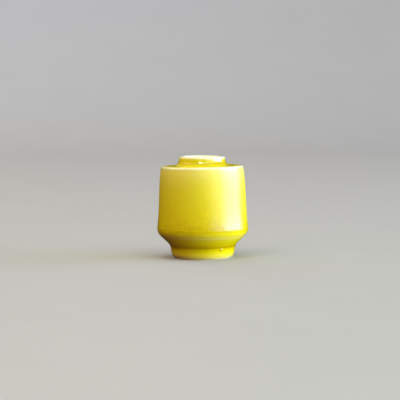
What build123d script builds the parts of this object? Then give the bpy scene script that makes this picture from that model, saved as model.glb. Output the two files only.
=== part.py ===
from build123d import *
import os

# A miniature bud vase: a pale stoneware pot, fired with a coat of glossy glaze outside,
# one inside and one in the recess of its foot.  Only the ring it stands on is bare clay.
# Every piece is turned about one axis, so each is drawn as half a section (radius, height)
# and revolved.  Millimetres, +Z up the axis, origin at the centre of the foot's underside.

# ---- heights above the table ----
vase_height = 50.0
shoulder_height = 45.3
shoulder_rise = 0.35          # the shoulder climbs this much on its way in to the neck
drawn_in_height = 39.0        # the side starts to lean in here, below the shoulder
waist_height = 20.4           # the swelling of the belly dies away here
belly_height = 12.69          # where the lines of the side and the underside would cross
foot_band_top = 6.45          # the upright band of the foot ends in the cove here
foot_band_bottom = 1.56
glaze_stop_height = 0.4       # the outer glaze is wiped back to here
floor_height = 5.0            # bottom of the inside
recess_depth = 1.3            # hollow under the foot
throat_bottom = 42.3
ceiling_height = 41.8         # underside of the shoulder, at the wall

# ---- radii ----
neck_radius = 11.4
throat_radius = 9.0
lip_crest_radius = 10.2       # where the outer and inner coats meet
shoulder_radius = 20.22
drawn_in_radius = 21.02
waist_radius = 21.88
belly_radius = 22.67
foot_band_top_radius = 16.2
foot_band_bottom_radius = 15.3
foot_contact_radius = 13.8
foot_ring_inner_radius = 11.4
recess_radius = 11.0
inside_top_radius = 17.9
inside_belly_radius = 19.2
inside_belly_height = 13.8
floor_radius = 11.5

# ---- roundings of the corners above ----
lip_outer_rounding = 0.8
lip_inner_rounding = 1.0
neck_rounding = 3.0
shoulder_rounding = 0.9
drawn_in_rounding = 80.0
waist_rounding = 120.0
belly_rounding = 5.2
cove_rounding = 5.0
toe_rounding = 3.0
throat_rounding = 1.2
ceiling_rounding = 4.0
inside_belly_rounding = 6.0
floor_rounding = 4.0
recess_rounding = 0.8

# ---- thickness of the glaze ----
outer_glaze_thickness = 0.45
liner_glaze_thickness = 0.35
base_glaze_thickness = 0.3

lip_crest = (lip_crest_radius, vase_height)
foot_contact = (foot_contact_radius, 0)
foot_band_bottom_corner = (foot_band_bottom_radius, foot_band_bottom)

# The glaze stops on the straight bevel that runs up from the contact edge.
bevel_run = (foot_band_bottom_radius - foot_contact_radius) / foot_band_bottom
glaze_stop = (foot_contact_radius + bevel_run * glaze_stop_height, glaze_stop_height)


def outside_line():
    """The glazed outside, from where the glaze stops at the foot up to the lip's crest."""
    return FilletPolyline(
        glaze_stop,
        foot_band_bottom_corner,
        (foot_band_top_radius, foot_band_top),
        (belly_radius, belly_height),
        (waist_radius, waist_height),
        (drawn_in_radius, drawn_in_height),
        (shoulder_radius, shoulder_height),
        (neck_radius, shoulder_height + shoulder_rise),
        (neck_radius, vase_height),
        lip_crest,
        radius=[
            toe_rounding,
            cove_rounding,
            belly_rounding,
            waist_rounding,
            drawn_in_rounding,
            shoulder_rounding,
            neck_rounding,
            lip_outer_rounding,
        ],
    )


def inside_line():
    """The glazed inside, from the lip's crest down the throat to the middle of the floor."""
    return FilletPolyline(
        lip_crest,
        (throat_radius, vase_height),
        (throat_radius, throat_bottom),
        (inside_top_radius, ceiling_height),
        (inside_belly_radius, inside_belly_height),
        (floor_radius, floor_height),
        (0, floor_height),
        radius=[
            lip_inner_rounding,
            throat_rounding,
            ceiling_rounding,
            inside_belly_rounding,
            floor_rounding,
        ],
    )


def recess_line():
    """The glazed hollow under the foot, from its middle out to just short of the ring."""
    stop_height = 2 * base_glaze_thickness
    ring_run = (foot_ring_inner_radius - recess_radius) / recess_depth
    stop = (foot_ring_inner_radius - ring_run * stop_height, stop_height)
    return FilletPolyline(
        (0, recess_depth),
        (recess_radius, recess_depth),
        stop,
        radius=recess_rounding,
    )


def whole_section():
    """Half the section of the finished pot, glaze and clay together."""
    outside, inside, recess = outside_line(), inside_line(), recess_line()
    under_foot = Polyline(recess @ 1, (foot_ring_inner_radius, 0), foot_contact, outside @ 0)
    axis_edge = Line(inside @ 1, recess @ 0)
    return make_face(recess + under_foot + outside + inside + axis_edge)


def coat(line, thickness):
    """Half the section of a coat of glaze: a strip of even thickness laid into a line."""
    return make_face(offset(line, amount=thickness, side=Side.LEFT, closed=True))


def turned(section):
    """The solid that a half section sweeps as it turns once about the axis."""
    return revolve(Plane.XZ * section, Axis.Z)


outer_glaze = coat(outside_line(), outer_glaze_thickness)
liner_glaze = coat(inside_line(), liner_glaze_thickness)
base_glaze = coat(recess_line(), base_glaze_thickness)
clay_body = whole_section() - outer_glaze - liner_glaze - base_glaze

sections = {
    "clay_body": clay_body,
    "outer_glaze": outer_glaze,
    "liner_glaze": liner_glaze,
    "base_glaze": base_glaze,
}

os.makedirs("parts", exist_ok=True)
for name, section in sections.items():
    export_step(turned(section), f"parts/{name}.step")
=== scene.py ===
import logging
import math
from abc import ABC, abstractmethod
from dataclasses import dataclass
from enum import Enum
from typing import Sequence

import bmesh
import bpy
import numpy as np
from mathutils import Matrix, Vector, noise


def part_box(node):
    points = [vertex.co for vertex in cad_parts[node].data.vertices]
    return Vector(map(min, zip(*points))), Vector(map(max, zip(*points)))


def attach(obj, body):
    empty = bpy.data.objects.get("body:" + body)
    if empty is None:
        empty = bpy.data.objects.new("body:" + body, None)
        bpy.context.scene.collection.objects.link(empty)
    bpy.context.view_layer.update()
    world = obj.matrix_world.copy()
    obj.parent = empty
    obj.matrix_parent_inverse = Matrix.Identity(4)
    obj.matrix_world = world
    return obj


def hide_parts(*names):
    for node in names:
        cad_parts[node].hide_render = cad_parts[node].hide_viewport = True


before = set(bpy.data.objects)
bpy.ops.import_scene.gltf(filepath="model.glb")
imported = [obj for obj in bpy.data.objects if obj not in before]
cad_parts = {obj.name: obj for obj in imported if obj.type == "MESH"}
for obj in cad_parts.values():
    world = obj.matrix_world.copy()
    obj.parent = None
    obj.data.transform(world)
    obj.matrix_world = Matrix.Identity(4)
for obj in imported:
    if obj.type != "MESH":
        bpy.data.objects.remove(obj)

# A miniature bud vase of pale stoneware under three coats of glossy yellow glaze.  The fixed
# frame gives its sizes and places.  The classes below build each coat as a fine mesh that runs
# thin over the edges and thick in the hollows, dress the clay, and set out the studio.

log = logging.getLogger("vase")

MM = 0.001
ROOT = "root"

Colour = tuple[float, float, float]
Stops = tuple[tuple[float, Colour], ...]
Socket = bpy.types.NodeSocket


class Look(Enum):
    """What a coat's mesh tells its glaze at every point: how deep, grainy and matt it lies."""

    DEPTH = "glaze_depth"
    GRAIN = "glaze_grain"
    MATT = "glaze_matt"


class Reach(Enum):
    """What a light does to a surface, as (it lights the colour, it is mirrored in the gloss)."""

    ALL = (True, True)
    GLOW = (True, False)
    GLINT = (False, True)


@dataclass(frozen=True)
class Levels:
    """The heights that the pot's solids give to its glaze, in millimetres."""

    lip: float
    glaze_stop: float
    liner_underside: float

    @classmethod
    def from_frame(cls) -> "Levels":
        """Reads the heights.

        Returns:
            The levels of the pot.
        """
        low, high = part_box("outer_glaze")
        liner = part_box("liner_glaze")[0].z / MM
        return cls(lip=high.z / MM, glaze_stop=low.z / MM, liner_underside=liner)


# ------------------------------------------------------------------ outlines


@dataclass(frozen=True)
class Corner:
    """A corner of an outline, in millimetres, with the radius that rounds it off."""

    radius: float
    height: float
    rounding: float = 0.0

    def at(self) -> np.ndarray:
        """The corner's place as (radius, height)."""
        return np.array([self.radius, self.height])


@dataclass(frozen=True)
class Outline:
    """A line of straight runs and tangent arcs in the half plane (radius, height), in millimetres.

    The body of the pot lies on the left of the line.
    """

    corners: tuple[Corner, ...]
    fine_step: float = 0.02
    fewest_arc_points: int = 3
    same_point: float = 1e-9

    def _rounded(self, index: int) -> np.ndarray:
        """Points along the arc that rounds one corner.

        Args:
            index: the corner's place in the outline; the two ends are never rounded.

        Returns:
            An array of (radius, height) rows, from one tangent point to the other.
        """
        rounding = self.corners[index].rounding
        at = self.corners[index].at()
        if index in (0, len(self.corners) - 1) or rounding == 0:
            return at[None, :]
        back = self.corners[index - 1].at() - at
        on = self.corners[index + 1].at() - at
        back /= np.linalg.norm(back)
        on /= np.linalg.norm(on)
        half_turn = 0.5 * (math.pi - math.acos(float(np.clip(back @ on, -1, 1))))
        bisector = (back + on) / np.linalg.norm(back + on)
        centre = at + bisector * rounding / math.cos(half_turn)
        start = at + back * rounding * math.tan(half_turn)
        spoke = start - centre
        side = -1.0 if back[0] * on[1] - back[1] * on[0] > 0 else 1.0
        count = max(self.fewest_arc_points, int(2 * half_turn * rounding / self.fine_step))
        angles = side * np.linspace(0, 2 * half_turn, count)
        cos, sin = np.cos(angles), np.sin(angles)
        turned = np.stack([cos * spoke[0] - sin * spoke[1], sin * spoke[0] + cos * spoke[1]], 1)
        return centre + turned

    def fine(self) -> np.ndarray:
        """The whole line as closely spaced points.

        Returns:
            An array of (radius, height) rows about `fine_step` apart.
        """
        knots = np.concatenate([self._rounded(index) for index in range(len(self.corners))])
        run = np.linalg.norm(np.diff(knots, axis=0), axis=1)
        knots = knots[np.concatenate([[True], run > self.same_point])]
        travel = distance_along(knots)
        evenly = np.linspace(0, travel[-1], max(2, int(travel[-1] / self.fine_step)))
        return resampled(evenly, travel, knots)


@dataclass(frozen=True)
class Traced:
    """An outline laid out in rows, with the outward normal and the distance travelled at each."""

    points: np.ndarray
    normals: np.ndarray
    travel: np.ndarray

    @classmethod
    def from_outline(
        cls,
        outline: Outline,
        step: float,
        tightest: float,
        bend_reach: float = 0.6,
        turn_per_row: float = 0.16,
        least_bend: float = 1e-6,
    ) -> "Traced":
        """Lays rows along an outline, closer together where it bends tightly.

        Args:
            outline: the line to follow.
            step: the spacing of rows on straight runs, in millimetres.
            tightest: the closest spacing allowed in a tight bend.
            bend_reach: how far to each side of a bend the rows start to close up.
            turn_per_row: how far the line may turn between rows, in radians.
            least_bend: the bend that a straight run is taken to have, so as not to divide by 0.

        Returns:
            The rows, with outward normals and the distance travelled to each.
        """
        fine = outline.fine()
        travel = distance_along(fine)
        tangent = np.gradient(fine, travel, axis=0)
        heading = np.unwrap(np.arctan2(tangent[:, 1], tangent[:, 0]))
        bend = np.abs(np.gradient(heading, travel))
        reach = int(bend_reach / outline.fine_step)
        kernel = np.hanning(2 * reach + 1)
        bend = np.convolve(np.pad(bend, reach, mode="edge"), kernel / kernel.sum(), mode="valid")
        spacing = np.clip(turn_per_row / np.maximum(bend, least_bend), tightest, step)
        rank = np.concatenate([[0], np.cumsum(np.diff(travel) / spacing[1:])])
        rows = np.linspace(0, rank[-1], int(math.ceil(rank[-1])) + 1)
        at = np.interp(rows, rank, travel)
        along = resampled(at, travel, tangent)
        along /= np.linalg.norm(along, axis=1)[:, None]
        outward = np.stack([along[:, 1], -along[:, 0]], 1)
        return cls(points=resampled(at, travel, fine), normals=outward, travel=at)

    def reached(self, radius: float | None, height: float | None, beyond: float) -> float:
        """How far along the line a radius or a height is next passed.

        Args:
            radius: a radius in millimetres, or None.
            height: a height in millimetres, or None.
            beyond: only the part of the line past this distance is looked at.

        Returns:
            The distance travelled, in millimetres.
        """
        column, value = (0, radius) if height is None else (1, height)
        gap = np.where(self.travel < beyond, np.nan, self.points[:, column] - value)
        crossing = np.nonzero(gap[:-1] * gap[1:] <= 0)[0]
        index = int(crossing[0]) if len(crossing) else int(np.nanargmin(np.abs(gap)))
        return float(self.travel[index])


def distance_along(points: np.ndarray) -> np.ndarray:
    """The distance travelled to each row of a line of points."""
    return np.concatenate([[0], np.cumsum(np.linalg.norm(np.diff(points, axis=0), axis=1))])


def resampled(at: np.ndarray, travel: np.ndarray, rows: np.ndarray) -> np.ndarray:
    """Rows of two values, read off at new distances along a line."""
    return np.stack([np.interp(at, travel, rows[:, column]) for column in (0, 1)], 1)


def around_axis(rows: np.ndarray, angles: np.ndarray) -> np.ndarray:
    """Turns (radius, height) rows about the axis.

    Args:
        rows: an array of (radius, height) rows.
        angles: the angles at which each row is repeated, in radians.

    Returns:
        An array of (x, y, z) for each row and angle.
    """
    radius = rows[:, 0][:, None]
    height = np.repeat(rows[:, 1][:, None], len(angles), 1)
    return np.stack([radius * np.cos(angles)[None, :], radius * np.sin(angles)[None, :], height], 2)


# ------------------------------------------------------------------ noise and shaping


def eased(t: np.ndarray | float) -> np.ndarray | float:
    """A share from 0 to 1, eased at both ends."""
    return t * t * (3 - 2 * t)


def smoothstep(low: float, high: float, value: np.ndarray) -> np.ndarray:
    """0 below `low`, 1 above `high`, and a smooth ramp between, for an array of values."""
    return eased(np.clip((value - low) / (high - low), 0, 1))


@dataclass(frozen=True)
class Lumps:
    """A smooth random relief that is the same on every run.

    The size is the width of a typical lump, in millimetres.
    """

    size: float
    seed: int
    layers: int = 2
    fading: float = 0.9
    fineness: float = 2.1
    seed_step: tuple[float, float, float] = (17.3, -9.1, 5.7)

    def at(self, points: np.ndarray) -> np.ndarray:
        """Reads the relief.

        Args:
            points: an array of (x, y, z) rows, in millimetres.

        Returns:
            One value per point, roughly between -1 and 1.
        """
        shift = Vector(self.seed_step) * self.seed
        places = (Vector(point) / self.size + shift for point in points.tolist())
        return np.array([noise.fractal(at, self.fading, self.fineness, self.layers) for at in places])


# ------------------------------------------------------------------ finishes


class Nodes:
    """A short way to write a node tree."""

    def __init__(self, tree: bpy.types.NodeTree) -> None:
        """Starts from an empty tree."""
        self.tree = tree
        tree.nodes.clear()

    def add(self, kind: str, **values: object) -> bpy.types.Node:
        """Adds a node.

        Args:
            kind: Blender's name for the node type.
            **values: settings of the node, by name.

        Returns:
            The new node.
        """
        node = self.tree.nodes.new(kind)
        for key, value in values.items():
            setattr(node, key, value)
        return node

    def feed(self, into: Socket, value: object) -> None:
        """Feeds an input.

        Args:
            into: the input socket.
            value: another node's output to join to it, or the constant that it holds.
        """
        if isinstance(value, Socket):
            self.tree.links.new(value, into)
        else:
            into.default_value = value

    def look(self, look: Look) -> Socket:
        """What the mesh says about one look at each point."""
        return self.add("ShaderNodeAttribute", attribute_name=look.value).outputs["Fac"]

    def noise(self, size: float, detail: float, roughness: float = 0.5) -> Socket:
        """A noise texture laid in the object's own space.

        Args:
            size: the width of a typical lump, in metres.
            detail: how many finer layers it has.
            roughness: how strong those layers are.

        Returns:
            The noise, from 0 to 1.
        """
        place = self.add("ShaderNodeTexCoord")
        texture = self.add("ShaderNodeTexNoise")
        self.feed(texture.inputs["Vector"], place.outputs["Object"])
        self.feed(texture.inputs["Scale"], 1.0 / size)
        self.feed(texture.inputs["Detail"], detail)
        self.feed(texture.inputs["Roughness"], roughness)
        return texture.outputs["Fac"]

    def maths(self, operation: str, *operands: Socket | float, clamp: bool = False) -> Socket:
        """A maths node.

        Args:
            operation: Blender's name for the operation.
            *operands: each a number or another node's output.
            clamp: whether the result is held between 0 and 1.

        Returns:
            The result.
        """
        node = self.add("ShaderNodeMath", operation=operation, use_clamp=clamp)
        for socket, operand in zip(node.inputs, operands):
            self.feed(socket, operand)
        return node.outputs["Value"]

    def ramp(self, along: Socket, stops: Stops) -> Socket:
        """A colour ramp.

        Args:
            along: what the ramp is read by, from 0 to 1.
            stops: the (position, colour) stops that it passes through.

        Returns:
            The colour.
        """
        node = self.add("ShaderNodeValToRGB")
        elements = node.color_ramp.elements
        while len(elements) > 1:
            elements.remove(elements[-1])
        for index, (position, colour) in enumerate(stops):
            element = elements.new(position) if index else elements[0]
            element.position = position
            element.color = (*colour, 1.0)
        self.feed(node.inputs["Fac"], along)
        return node.outputs["Color"]

    def bump(
        self,
        height: Socket,
        depth: float,
        share: Socket | float = 1.0,
        over: Socket | None = None,
    ) -> Socket:
        """A bump node.

        Args:
            height: the relief, from 0 to 1.
            depth: how deep the whole of that relief is, in metres.
            share: how much of it shows, from 0 to 1.
            over: the normal that it is laid over, or None for the mesh's own.

        Returns:
            The bent normal.
        """
        node = self.add("ShaderNodeBump")
        self.feed(node.inputs["Height"], height)
        self.feed(node.inputs["Distance"], depth)
        self.feed(node.inputs["Strength"], share)
        if over is not None:
            self.feed(node.inputs["Normal"], over)
        return node.outputs["Normal"]


class FinishNodes(Nodes):
    """The node tree of a material that has one shader."""

    def __init__(self, name: str) -> None:
        """Makes the material, with the shader joined to its output.

        Args:
            name: the material's name.
        """
        self.material = bpy.data.materials.new(name)
        self.material.use_nodes = True
        super().__init__(self.material.node_tree)
        output = self.add("ShaderNodeOutputMaterial")
        self.shader = self.add("ShaderNodeBsdfPrincipled")
        self.feed(output.inputs["Surface"], self.shader.outputs["BSDF"])

    def dress(self, **values: object) -> bpy.types.Material:
        """Feeds the shader.

        Args:
            **values: what each input gets, by its name with underscores for spaces.

        Returns:
            The finished material.
        """
        for key, value in values.items():
            self.feed(self.shader.inputs[key.replace("_", " ")], value)
        return self.material


@dataclass(frozen=True)
class GlazeFinish:
    """Glossy yellow glaze: its colour deepens with its thickness.

    The stops give the colour from the thinnest film over pale clay to the deepest pool.
    Sizes and heights are in metres.
    """

    name: str = "yellow_glaze"
    stops: Stops = (
        (0.0, (0.95, 0.94, 0.72)),
        (0.15, (0.93, 0.88, 0.32)),
        (0.30, (0.90, 0.80, 0.13)),
        (0.42, (0.85, 0.75, 0.06)),
        (0.54, (0.82, 0.73, 0.018)),
        (0.65, (0.79, 0.69, 0.003)),
        (0.82, (0.69, 0.57, 0.0)),
        (1.0, (0.47, 0.33, 0.0)),
    )
    index_of_refraction: float = 1.66
    cloud_size: float = 0.0045
    cloud_detail: float = 3.0
    cloud_depth: float = 0.16
    cloud_matt: float = 0.08
    grain_size: float = 0.0009
    grain_detail: float = 2.0
    grain_roughness: float = 0.6
    grain_depth: float = 0.3
    grain_height: float = 0.000035
    peel_size: float = 0.0011
    peel_detail: float = 1.5
    peel_height: float = 0.000016

    def material(self) -> bpy.types.Material:
        """Builds the node material.

        Returns:
            The glaze, which reads from the mesh how deep, grainy and matt it lies.
        """
        nodes = FinishNodes(self.name)
        grain = nodes.look(Look.GRAIN)
        cloud = nodes.noise(self.cloud_size, self.cloud_detail)
        fleck = nodes.noise(self.grain_size, self.grain_detail, self.grain_roughness)
        peel = nodes.bump(nodes.noise(self.peel_size, self.peel_detail), self.peel_height)
        return nodes.dress(
            Base_Color=nodes.ramp(self._thickness(nodes, grain, cloud, fleck), self.stops),
            Roughness=self._roughness(nodes, cloud),
            IOR=self.index_of_refraction,
            Normal=nodes.bump(fleck, self.grain_height, grain, peel),
        )

    def _thickness(self, nodes: Nodes, grain: Socket, cloud: Socket, fleck: Socket) -> Socket:
        """How thickly the glaze lies, clouded and flecked.

        Args:
            nodes: the tree to write in.
            grain: how grainy the glaze is at each point.
            cloud: the broad noise.
            fleck: the fine noise, which acts where the glaze is grainy.

        Returns:
            The thickness, from 0 to 1.
        """
        clouding = nodes.maths("MULTIPLY", nodes.maths("SUBTRACT", cloud, 0.5), self.cloud_depth)
        flecking = nodes.maths("MULTIPLY", nodes.maths("SUBTRACT", fleck, 0.5), grain)
        flecking = nodes.maths("MULTIPLY", flecking, self.grain_depth)
        clouded = nodes.maths("ADD", nodes.look(Look.DEPTH), clouding)
        return nodes.maths("ADD", clouded, flecking, clamp=True)

    def _roughness(self, nodes: Nodes, cloud: Socket) -> Socket:
        """How matt the glaze is: the mesh's own value, a little clouded."""
        clouding = nodes.maths("MULTIPLY_ADD", cloud, self.cloud_matt, -0.5 * self.cloud_matt)
        return nodes.maths("ADD", nodes.look(Look.MATT), clouding, clamp=True)


@dataclass(frozen=True)
class BiscuitFinish:
    """Bare fired clay: dull, pale and slightly sandy.  Sizes are in metres."""

    name: str = "fired_clay"
    stops: Stops = ((0.35, (0.66, 0.60, 0.48)), (0.62, (0.84, 0.80, 0.70)))
    sand_size: float = 0.0004
    sand_detail: float = 4.0
    sand_roughness: float = 0.6
    sand_height: float = 0.00003
    least_matt: float = 0.7
    more_matt: float = 0.2

    def material(self) -> bpy.types.Material:
        """Builds the node material.

        Returns:
            The clay's material.
        """
        nodes = FinishNodes(self.name)
        sand = nodes.noise(self.sand_size, self.sand_detail, self.sand_roughness)
        return nodes.dress(
            Base_Color=nodes.ramp(sand, self.stops),
            Roughness=nodes.maths("MULTIPLY_ADD", sand, self.more_matt, self.least_matt),
            Normal=nodes.bump(sand, self.sand_height),
        )


@dataclass(frozen=True)
class PaleCard:
    """The plain pale card that the studio's floor is swept from."""

    name: str = "pale_card"
    colour: Colour = (0.40, 0.40, 0.37)
    darker_by: float = 0.98
    mottle_size: float = 0.05
    mottle_detail: float = 2.0
    matt: float = 0.9
    shine: float = 0.1

    def material(self) -> bpy.types.Material:
        """Builds the node material.

        Returns:
            The card's material.
        """
        nodes = FinishNodes(self.name)
        darker = tuple(self.darker_by * channel for channel in self.colour)
        mottle = nodes.noise(self.mottle_size, self.mottle_detail)
        return nodes.dress(
            Base_Color=nodes.ramp(mottle, ((0.3, darker), (0.7, self.colour))),
            Roughness=self.matt,
            Specular_IOR_Level=self.shine,
        )


# ------------------------------------------------------------------ the glaze's relief


@dataclass(frozen=True)
class Bead:
    """A small blob where the glaze ran and set.

    The turn is measured in degrees from the front towards +X; sizes are in millimetres.
    """

    turn: float
    height: float
    spread: float
    rise: float

    def relief(self, points: np.ndarray) -> np.ndarray:
        """How far the bead stands proud.

        Args:
            points: an array of (x, y, z) rows, in millimetres.

        Returns:
            A height in millimetres for each point.
        """
        angle = math.radians(self.turn)
        across = points[:, 0] * math.cos(angle) + points[:, 1] * math.sin(angle)
        front = points[:, 0] * math.sin(angle) - points[:, 1] * math.cos(angle) > 0
        away = (across**2 + (points[:, 2] - self.height) ** 2) / (2 * self.spread**2)
        return self.rise * np.exp(-away) * front


@dataclass(frozen=True)
class GlazeRelief:
    """How the outer coat stands proud of its mean face, in millimetres.

    Throwing left faint rings up the side, the whole is a little uneven, the lower belly is
    granular, and the glaze ran into a few beads.
    """

    ring_height: float = 0.003
    ring_pitch: float = 3.1
    ring_rise: float = 0.5
    ring_drift: float = 0.8
    ring_drift_height: float = 5.3
    side_starts: tuple[float, float] = (13.0, 18.0)
    side_ends: tuple[float, float] = (43.0, 44.8)
    uneven_height: float = 0.045
    uneven: Lumps = Lumps(size=11.0, seed=1)
    grain_height: float = 0.006
    belly_grain_height: float = 0.050
    grain: Lumps = Lumps(size=0.95, seed=2)
    belly_starts: tuple[float, float] = (11.0, 14.0)
    belly_ends: tuple[float, float] = (15.0, 31.0)
    beads: tuple[Bead, ...] = (
        Bead(turn=34.0, height=4.8, spread=0.55, rise=0.45),
        Bead(turn=-8.0, height=47.4, spread=0.40, rise=0.12),
        Bead(turn=8.0, height=47.3, spread=0.30, rise=0.05),
        Bead(turn=-52.0, height=13.2, spread=0.5, rise=0.10),
        Bead(turn=150.0, height=5.4, spread=0.5, rise=0.22),
        Bead(turn=208.0, height=46.9, spread=0.4, rise=0.12),
    )

    def _rings(self, points: np.ndarray) -> np.ndarray:
        """The throwing rings, which climb in a slow spiral.

        Args:
            points: an array of (x, y, z) rows.

        Returns:
            A height for each point.
        """
        z = points[:, 2]
        turn = np.arctan2(points[:, 1], points[:, 0])
        side = smoothstep(*self.side_starts, z) * (1 - smoothstep(*self.side_ends, z))
        climb = z + self.ring_rise * turn / math.pi
        drift = self.ring_drift * np.sin(z / self.ring_drift_height)
        wave = np.sin(2 * math.pi * climb / self.ring_pitch + drift)
        return self.ring_height * wave * side

    def at(self, points: np.ndarray) -> np.ndarray:
        """Reads the relief.

        Args:
            points: an array of (x, y, z) rows.

        Returns:
            A height for each point.
        """
        z = points[:, 2]
        belly = smoothstep(*self.belly_starts, z) * (1 - smoothstep(*self.belly_ends, z))
        grain = (self.grain_height + self.belly_grain_height * belly) * self.grain.at(points)
        beads = sum(bead.relief(points) for bead in self.beads)
        return self._rings(points) + self.uneven_height * self.uneven.at(points) + grain + beads


@dataclass(frozen=True)
class Lean:
    """How the throwing left the shoulder and the lip out of level, by a hair.

    Each slope is a rise per millimetre towards +X; heights are in millimetres.
    """

    shoulder_slope: float = 0.008
    shoulder_starts: tuple[float, float] = (43.0, 44.8)
    shoulder_ends: tuple[float, float] = (46.0, 47.0)
    lip_slope: float = -0.009
    lip_starts: tuple[float, float] = (46.5, 48.5)

    def applied(self, points: np.ndarray) -> np.ndarray:
        """Tips the points.

        Args:
            points: an array of (x, y, z), in millimetres, in any number of rings.

        Returns:
            The same points, moved up or down by at most a tenth or two of a millimetre.
        """
        x, z = points[..., 0], points[..., 2]
        lip = smoothstep(*self.lip_starts, z)
        shoulder = smoothstep(*self.shoulder_starts, z) * (1 - smoothstep(*self.shoulder_ends, z))
        tipped = points.copy()
        tipped[..., 2] += x * (self.shoulder_slope * shoulder + self.lip_slope * lip)
        return tipped


# ------------------------------------------------------------------ the coats of glaze


@dataclass(frozen=True)
class Place:
    """A place along a coat, by height or radius, with how deep, grainy and matt it is there."""

    depth: float
    grain: float = 0.0
    matt: float = 0.14
    height: float | None = None
    radius: float | None = None

    def says(self, look: Look) -> float:
        """What the place says about one look."""
        return {Look.DEPTH: self.depth, Look.GRAIN: self.grain, Look.MATT: self.matt}[look]


@dataclass(frozen=True)
class GlazeCoat(ABC):
    """One coat of glaze: a closed skin, fine on its face, whose back lies on the clay.

    Sizes are in millimetres.  Each kind of coat gives its own outline and places.
    """

    finish: GlazeFinish
    levels: Levels
    name: str
    slot: str
    thickness: float
    segments: int
    step: float
    tightest: float = 0.12
    back_step: float = 3.0
    back_tightest: float = 0.5
    relief: GlazeRelief | None = None
    relief_fades_over: float = 0.8
    relief_grows: tuple[float, float] = (0.2, 3.0)
    crease: float = 50.0
    least_gap: float = 1e-9
    on_axis: float = 1e-4
    lean: Lean = Lean()

    @abstractmethod
    def outline(self) -> Outline:
        """The coat's face in section."""

    @abstractmethod
    def places(self) -> tuple[Place, ...]:
        """How the glaze lies along the outline, in the order that it is met."""

    def _along(self, rows: Traced, look: Look) -> np.ndarray:
        """Blends what the places say about one look smoothly along the rows.

        Args:
            rows: the rows of the coat's face.
            look: the look to blend.

        Returns:
            One value per row.
        """
        at: list[float] = []
        values: list[float] = []
        for place in self.places():
            at.append(rows.reached(place.radius, place.height, at[-1] if at else 0.0))
            values.append(place.says(look))
        blended = np.empty(len(rows.travel))
        for index, where in enumerate(rows.travel):
            after = int(np.clip(np.searchsorted(at, where), 1, len(at) - 1))
            gap = max(at[after] - at[after - 1], self.least_gap)
            share = eased(float(np.clip((where - at[after - 1]) / gap, 0, 1)))
            blended[index] = values[after - 1] * (1 - share) + values[after] * share
        return blended

    def _face(self, rows: Traced, angles: np.ndarray) -> np.ndarray:
        """Places the face's points round the axis, with their relief.

        Args:
            rows: the rows of the coat's face.
            angles: the angles of each ring's points.

        Returns:
            The points as (rows, angles, 3).
        """
        flat = around_axis(rows.points, angles)
        if self.relief is None:
            return flat
        height = self.relief.at(flat.reshape(-1, 3)).reshape(flat.shape[:2])
        to_end = rows.travel[-1] - rows.travel
        ends = smoothstep(0.0, self.relief_fades_over, rows.travel)
        ends = ends * smoothstep(0.0, self.relief_fades_over, to_end)
        height = height * ends[:, None] * smoothstep(*self.relief_grows, rows.points[:, 0][:, None])
        return flat + around_axis(rows.normals, angles) * height[:, :, None]

    def _back(self, angles: np.ndarray) -> np.ndarray:
        """Places the back's points round the axis, from the end of the outline to its start.

        Args:
            angles: the angles of each ring's points.

        Returns:
            The points as (rows, angles, 3).
        """
        rows = Traced.from_outline(self.outline(), self.back_step, self.back_tightest)
        line = rows.points - rows.normals * self.thickness
        return around_axis(line[::-1], angles)

    def build(self) -> bpy.types.Object:
        """Builds the coat's mesh, tells it how the glaze lies, and dresses it.

        Returns:
            The finished piece, riding on the pot and standing for its solid.
        """
        rows = Traced.from_outline(self.outline(), self.step, self.tightest)
        angles = np.linspace(0, 2 * math.pi, self.segments, endpoint=False)
        back = self._back(angles)
        looks: dict[Look, np.ndarray] = {}
        for look in Look:
            face = self._along(rows, look)
            behind = 0.0 if look is Look.GRAIN else face.mean()
            looks[look] = np.concatenate([face, np.full(len(back), behind)])
        rings = np.concatenate([self._face(rows, angles), back])
        mesh = self._mesh(self.lean.applied(rings) * MM, looks)
        mesh.materials.append(self.finish.material())
        piece = bpy.data.objects.new(self.name + "_skin", mesh)
        bpy.context.scene.collection.objects.link(piece)
        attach(piece, ROOT)
        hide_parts(self.name)
        return piece

    def _mesh(self, rings: np.ndarray, looks: dict[Look, np.ndarray]) -> bpy.types.Mesh:
        """Joins rings into one closed mesh, with a single point wherever a ring meets the axis.

        Args:
            rings: the points as (rings, segments, 3), in metres; the last ring joins the first.
            looks: for each look, its value at each ring.

        Returns:
            The new mesh.
        """
        points: list[tuple[float, float, float]] = []
        ring_of_point: list[int] = []
        starts: list[tuple[int, int]] = []
        for index, ring in enumerate(rings):
            on_axis = float(np.abs(ring[:, :2]).max()) < self.on_axis * MM
            count = 1 if on_axis else len(ring)
            starts.append((len(points), count))
            points.extend(map(tuple, ring[:count].tolist()))
            ring_of_point.extend([index] * count)
        faces: list[tuple[int, ...]] = []
        for low, high in zip(starts, starts[1:] + starts[:1]):
            faces.extend(self._band(*low, *high))
        mesh = bpy.data.meshes.new(self.name)
        mesh.from_pydata(points, [], faces)
        mesh.update()
        for look, values in looks.items():
            layer = mesh.attributes.new(look.value, "FLOAT", "POINT")
            layer.data.foreach_set("value", values[ring_of_point].astype(np.float32))
        mesh.shade_smooth()
        mesh.set_sharp_from_angle(angle=math.radians(self.crease))
        return mesh

    def _band(self, low: int, low_count: int, high: int, high_count: int) -> list[tuple[int, ...]]:
        """The faces between two rings, either of which may be a single point.

        Args:
            low: the first point of one ring.
            low_count: how many points it has.
            high: the first point of the next ring.
            high_count: how many points that has.

        Returns:
            The faces, as indices of points.
        """
        if low_count == 1 and high_count == 1:
            return []
        turns = [(k, (k + 1) % self.segments) for k in range(self.segments)]
        if low_count == 1:
            return [(low, high + after, high + k) for k, after in turns]
        if high_count == 1:
            return [(low + k, low + after, high) for k, after in turns]
        return [(low + k, low + after, high + after, high + k) for k, after in turns]


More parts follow.
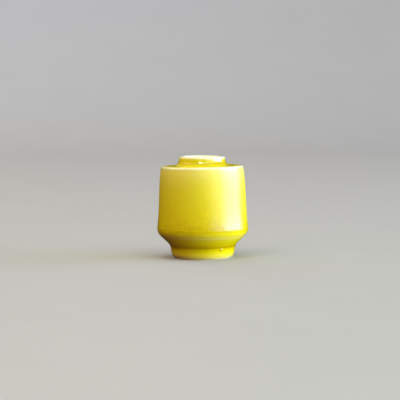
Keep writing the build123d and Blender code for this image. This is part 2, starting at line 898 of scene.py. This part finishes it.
@dataclass(frozen=True)
class OuterGlaze(GlazeCoat):
    """The coat from where the glaze stops at the foot up to the lip's crest."""

    name: str = "outer_glaze"
    slot: str = "yellow_glaze"
    thickness: float = 0.45
    segments: int = 384
    step: float = 0.32
    relief: GlazeRelief = GlazeRelief()
    stop_radius: float = 14.185
    toe: Corner = Corner(15.3, 1.56, 3.0)
    foot_band_top: Corner = Corner(16.2, 6.45, 5.0)
    belly: Corner = Corner(22.67, 12.69, 5.2)
    waist: Corner = Corner(21.88, 20.4, 120.0)
    drawn_in: Corner = Corner(21.02, 39.0, 80.0)
    shoulder: Corner = Corner(20.22, 45.3, 0.9)
    neck_foot: Corner = Corner(11.4, 45.65, 3.0)
    lip_rounding: float = 0.8
    crest_radius: float = 10.2

    def outline(self) -> Outline:
        """The outer face in section, from the foot up.

        Returns:
            The outline.
        """
        return Outline(
            (
                Corner(self.stop_radius, self.levels.glaze_stop),
                self.toe,
                self.foot_band_top,
                self.belly,
                self.waist,
                self.drawn_in,
                self.shoulder,
                self.neck_foot,
                Corner(self.neck_foot.radius, self.levels.lip, self.lip_rounding),
                Corner(self.crest_radius, self.levels.lip),
            )
        )

    def places(self) -> tuple[Place, ...]:
        """How the outer glaze lies, from the foot up.

        Returns:
            The places: thin at the foot's edge, on the ridge under the belly, on the shoulder's
            edge and on the lip, deep in the coves of the foot and the neck, and grainy on the
            lower belly.
        """
        foot = (
            Place(height=0.42, depth=0.06),
            Place(height=0.9, depth=0.19),
            Place(height=1.9, depth=0.34),
            Place(height=3.6, depth=0.60, grain=0.2),
            Place(height=4.8, depth=0.80, grain=0.2),
            Place(height=6.1, depth=1.0, grain=0.2),
            Place(height=7.5, depth=0.80, grain=0.2),
            Place(height=8.8, depth=0.60),
            Place(height=9.9, depth=0.48),
            Place(height=10.5, depth=0.36),
            Place(height=10.9, depth=0.12),
            Place(height=11.3, depth=0.40),
        )
        body = (
            Place(height=12.5, depth=0.48, grain=0.4),
            Place(height=14.4, depth=0.82, grain=1.0, matt=0.25),
            Place(height=16.4, depth=0.84, grain=0.9, matt=0.27),
            Place(height=19.1, depth=0.76, grain=0.8, matt=0.30),
            Place(height=24.0, depth=0.67, grain=0.6, matt=0.34),
            Place(height=28.0, depth=0.62, grain=0.5, matt=0.37),
            Place(height=34.0, depth=0.54, grain=0.45, matt=0.38),
            Place(height=39.0, depth=0.46, grain=0.35, matt=0.40),
            Place(height=42.3, depth=0.37, matt=0.42),
            Place(height=43.7, depth=0.33, matt=0.34),
            Place(height=44.5, depth=0.20, matt=0.2),
            Place(height=45.1, depth=0.08),
        )
        shoulder_and_neck = (
            Place(radius=19.2, depth=0.12),
            Place(radius=17.8, depth=0.32),
            Place(radius=15.5, depth=0.72),
            Place(height=47.2, depth=0.88),
            Place(height=48.4, depth=0.78),
            Place(height=49.0, depth=0.33),
            Place(height=49.4, depth=0.12),
            Place(height=49.8, depth=0.02),
            Place(radius=10.3, depth=0.05),
        )
        return foot + body + shoulder_and_neck


@dataclass(frozen=True)
class LinerGlaze(GlazeCoat):
    """The coat inside, from the lip's crest down the throat to the middle of the floor."""

    name: str = "liner_glaze"
    slot: str = "liner_glaze"
    thickness: float = 0.35
    segments: int = 192
    step: float = 0.6
    crest_radius: float = 10.2
    throat_radius: float = 9.0
    lip_rounding: float = 1.0
    throat_bottom: float = 42.3
    throat_rounding: float = 1.2
    ceiling: Corner = Corner(17.9, 41.8, 4.0)
    belly: Corner = Corner(19.2, 13.8, 6.0)
    floor_radius: float = 11.5
    floor_rounding: float = 4.0

    def outline(self) -> Outline:
        """The inner face in section, from the lip down.

        Returns:
            The outline.
        """
        floor_height = self.levels.liner_underside + self.thickness
        return Outline(
            (
                Corner(self.crest_radius, self.levels.lip),
                Corner(self.throat_radius, self.levels.lip, self.lip_rounding),
                Corner(self.throat_radius, self.throat_bottom, self.throat_rounding),
                self.ceiling,
                self.belly,
                Corner(self.floor_radius, floor_height, self.floor_rounding),
                Corner(0.0, floor_height),
            )
        )

    def places(self) -> tuple[Place, ...]:
        """How the liner lies, from the lip down.

        Returns:
            The places: thin on the lip and pooled on the floor.
        """
        return (
            Place(radius=10.15, depth=0.03),
            Place(height=49.7, depth=0.04),
            Place(height=48.0, depth=0.14),
            Place(height=43.0, depth=0.3),
            Place(height=38.0, depth=0.5),
            Place(height=15.0, depth=0.8),
            Place(height=6.0, depth=1.0),
        )


@dataclass(frozen=True)
class BaseGlaze(GlazeCoat):
    """The coat in the hollow under the foot, from its middle out to the bare ring."""

    name: str = "base_glaze"
    slot: str = "base_glaze"
    thickness: float = 0.3
    segments: int = 128
    step: float = 0.6
    recess: Corner = Corner(11.0, 1.3, 0.8)
    stop: Corner = Corner(11.215, 0.6)

    def outline(self) -> Outline:
        """The hollow in section, from its middle out."""
        return Outline((Corner(0.0, self.recess.height), self.recess, self.stop))

    def places(self) -> tuple[Place, ...]:
        """How the glaze lies in the hollow, from its middle out.

        Returns:
            The places: deep in the corner and thin at the edge.
        """
        return (
            Place(radius=0.5, depth=0.6),
            Place(radius=9.5, depth=0.8),
            Place(height=0.7, depth=0.15),
        )


@dataclass(frozen=True)
class ClayBody:
    """The fired pot itself, which shows only as the ring it stands on."""

    finish: BiscuitFinish = BiscuitFinish()

    def build(self) -> bpy.types.Object:
        """Dresses the clay's own solid.

        Returns:
            The clay's object.
        """
        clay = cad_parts["clay_body"]
        clay.data.materials.clear()
        clay.data.materials.append(self.finish.material())
        return clay


# ------------------------------------------------------------------ the studio


@dataclass(frozen=True)
class Softbox:
    """A rectangular soft light that looks at the middle of the vase.

    Angles are in degrees: azimuth 0 is on the viewer's side and 90 to the right.  Sizes are in
    metres.
    """

    name: str
    azimuth: float
    elevation: float
    distance: float
    width: float
    height: float
    brightness: float
    colour: Colour
    reach: Reach = Reach.ALL

    def place(self, target: Vector) -> bpy.types.Object:
        """Sets the light up.

        Args:
            target: the point the light looks at.

        Returns:
            The light's object.
        """
        turn, rise = math.radians(self.azimuth), math.radians(self.elevation)
        level = math.cos(rise)
        aim = Vector((math.sin(turn) * level, -math.cos(turn) * level, math.sin(rise)))
        data = bpy.data.lights.new(self.name, "AREA")
        data.shape = "RECTANGLE"
        data.size = self.width
        data.size_y = self.height
        data.energy = self.brightness * math.pi * self.width * self.height
        data.color = self.colour
        light = bpy.data.objects.new(self.name, data)
        light.location = target + aim * self.distance
        light.rotation_euler = aim.to_track_quat("Z", "Y").to_euler()
        light.visible_camera = False
        light.visible_diffuse, light.visible_glossy = self.reach.value
        bpy.context.scene.collection.objects.link(light)
        return light


@dataclass(frozen=True)
class Camera:
    """A long lens, a little above the lip, looking slightly down at the vase.

    Lengths are in metres, angles in degrees, and the lens and sensor in millimetres.
    """

    distance: float = 0.8378
    height: float = 0.08732
    sideways: float = -0.0012
    pitch: float = 4.023
    roll: float = -0.57
    lens: float = 153.0
    sensor: float = 36.0
    nearest: float = 0.01
    farthest: float = 50.0

    def place(self) -> bpy.types.Object:
        """Creates the camera and makes it the scene's own.

        Returns:
            The camera's object.
        """
        data = bpy.data.cameras.new("camera")
        data.lens = self.lens
        data.sensor_width = self.sensor
        data.clip_start = self.nearest
        data.clip_end = self.farthest
        camera = bpy.data.objects.new("camera", data)
        stand = Matrix.Translation((self.sideways, -self.distance, self.height))
        look = Matrix.Rotation(math.radians(90 - self.pitch), 4, "X")
        roll = Matrix.Rotation(math.radians(self.roll), 4, "Z")
        camera.matrix_world = stand @ look @ roll
        bpy.context.scene.collection.objects.link(camera)
        bpy.context.scene.camera = camera
        return camera


@dataclass(frozen=True)
class Sweep:
    """The pale floor, which curves up into a pale wall all round.  Sizes are in metres.

    It takes light and shows shadow, but throws none of either back at the vase: the lights
    below the floor stand for what a table would throw up.
    """

    floor_radius: float = 1.2
    bend: float = 0.8
    wall_height: float = 2.5
    bend_steps: int = 12
    round_steps: int = 96
    join_within: float = 1e-5
    finish: PaleCard = PaleCard()

    def _section(self) -> list[Vector]:
        """The sheet in section, from the middle of the floor to the top of the wall.

        Returns:
            The points.
        """
        line = [Vector((0.0, 0.0, 0.0)), Vector((self.floor_radius, 0.0, 0.0))]
        for step in range(1, self.bend_steps + 1):
            angle = 0.5 * math.pi * step / self.bend_steps
            out = self.floor_radius + self.bend * math.sin(angle)
            line.append(Vector((out, 0.0, self.bend * (1 - math.cos(angle)))))
        line.append(Vector((self.floor_radius + self.bend, 0.0, self.wall_height)))
        return line

    def build(self) -> bpy.types.Object:
        """Spins the section into one sheet.

        Returns:
            The stage object.
        """
        shape = bmesh.new()
        points = [shape.verts.new(point) for point in self._section()]
        edges = [shape.edges.new(pair) for pair in zip(points, points[1:])]
        bmesh.ops.spin(
            shape,
            geom=points + edges,
            axis=(0, 0, 1),
            cent=(0, 0, 0),
            angle=2 * math.pi,
            steps=self.round_steps,
            use_merge=True,
        )
        bmesh.ops.remove_doubles(shape, verts=shape.verts, dist=self.join_within)
        bmesh.ops.recalc_face_normals(shape, faces=shape.faces)
        mesh = bpy.data.meshes.new("sweep")
        shape.to_mesh(mesh)
        shape.free()
        mesh.shade_smooth()
        mesh.materials.append(self.finish.material())
        floor = bpy.data.objects.new("sweep", mesh)
        bpy.context.scene.collection.objects.link(floor)
        floor.visible_diffuse = False
        floor.visible_glossy = False
        floor.visible_shadow = False
        return floor


@dataclass(frozen=True)
class Air:
    """The little light that fills the room, from straight down to straight up."""

    stops: Stops = (
        (0.0, (0.05, 0.035, 0.02)),
        (0.48, (0.015, 0.012, 0.01)),
        (0.60, (0.03, 0.03, 0.03)),
        (1.0, (0.25, 0.25, 0.25)),
    )

    def build(self) -> bpy.types.World:
        """Makes the room's light and gives it to the scene.

        Returns:
            The world.
        """
        world = bpy.data.worlds.new("room")
        world.use_nodes = True
        nodes = Nodes(world.node_tree)
        place = nodes.add("ShaderNodeTexCoord")
        split = nodes.add("ShaderNodeSeparateXYZ")
        glow = nodes.add("ShaderNodeBackground")
        out = nodes.add("ShaderNodeOutputWorld")
        nodes.feed(split.inputs["Vector"], place.outputs["Generated"])
        upward = nodes.maths("MULTIPLY_ADD", split.outputs["Z"], 0.5, 0.5)
        nodes.feed(glow.inputs["Color"], nodes.ramp(upward, self.stops))
        nodes.feed(out.inputs["Surface"], glow.outputs["Background"])
        bpy.context.scene.world = world
        return world


@dataclass(frozen=True)
class Studio:
    """The sweep, the lights, the air and the camera."""

    # Each light: name, azimuth, elevation, distance, width, height, brightness, colour, reach.
    lights: tuple[Softbox, ...] = (
        Softbox("window", 86.0, 10.0, 3.6, 3.92, 1.76, 11.5, (0.41, 0.46, 1.0)),
        Softbox("curtain", 40.0, 7.0, 3.6, 2.00, 1.44, 2.3, (0.45, 0.50, 1.0)),
        Softbox("lamp", -4.0, 44.0, 2.0, 0.50, 0.38, 24.0, (1.0, 1.0, 0.95), Reach.GLINT),
        Softbox("overhead", -10.0, 54.0, 2.0, 2.44, 1.56, 2.60, (1.0, 1.0, 0.82), Reach.GLOW),
        Softbox("ceiling", 0.0, 89.0, 2.0, 2.00, 2.00, 1.15, (0.98, 1.0, 0.92), Reach.GLOW),
        Softbox("warm_wall", -80.0, 35.0, 2.0, 1.78, 1.33, 1.40, (1.0, 0.50, 0.30)),
        Softbox("right_front", 45.0, 38.0, 2.0, 1.33, 1.11, 1.80, (0.76, 1.0, 0.95)),
        Softbox("back_fill", 205.0, 38.0, 2.0, 2.22, 1.78, 1.3, (1.0, 0.97, 0.90), Reach.GLOW),
        Softbox("table_right", 92.0, -17.0, 0.9, 0.80, 0.46, 4.2, (0.84, 1.0, 0.08), Reach.GLOW),
        Softbox("table_near_right", 60.0, -25.0, 0.9, 0.80, 0.46, 2.8, (0.97, 1.0, 0.08), Reach.GLOW),
        Softbox("table_near", 0.0, -25.0, 0.9, 0.80, 0.46, 0.75, (1.0, 0.15, 0.0), Reach.GLOW),
    )
    sweep: Sweep = Sweep()
    air: Air = Air()
    camera: Camera = Camera()

    def build(self, target: Vector) -> None:
        """Sets the studio out.

        Args:
            target: the middle of the vase, which the lights look at.
        """
        log.info("stage %s", self.sweep.build().name)
        log.info("air %s", self.air.build().name)
        for light in self.lights:
            log.info("light %s", light.place(target).name)
        log.info("camera %s", self.camera.place().name)
        view = bpy.context.scene.view_settings
        view.view_transform = "Standard"
        view.look = "None"
        view.exposure = 0.0
        view.gamma = 1.0


def main() -> None:
    """Builds the vase and the studio."""
    logging.basicConfig(level=logging.INFO, format="%(name)s: %(message)s")
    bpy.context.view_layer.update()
    levels = Levels.from_frame()
    glaze = GlazeFinish()
    coats = (OuterGlaze(glaze, levels), LinerGlaze(glaze, levels), BaseGlaze(glaze, levels))
    for part in (*coats, ClayBody()):
        piece = part.build()
        log.info("%s: %d faces", piece.name, len(piece.data.polygons))
    Studio().build(Vector((0.0, 0.0, 0.5 * levels.lip * MM)))
    log.info("sizes written")


if __name__ == "__main__":
    main()
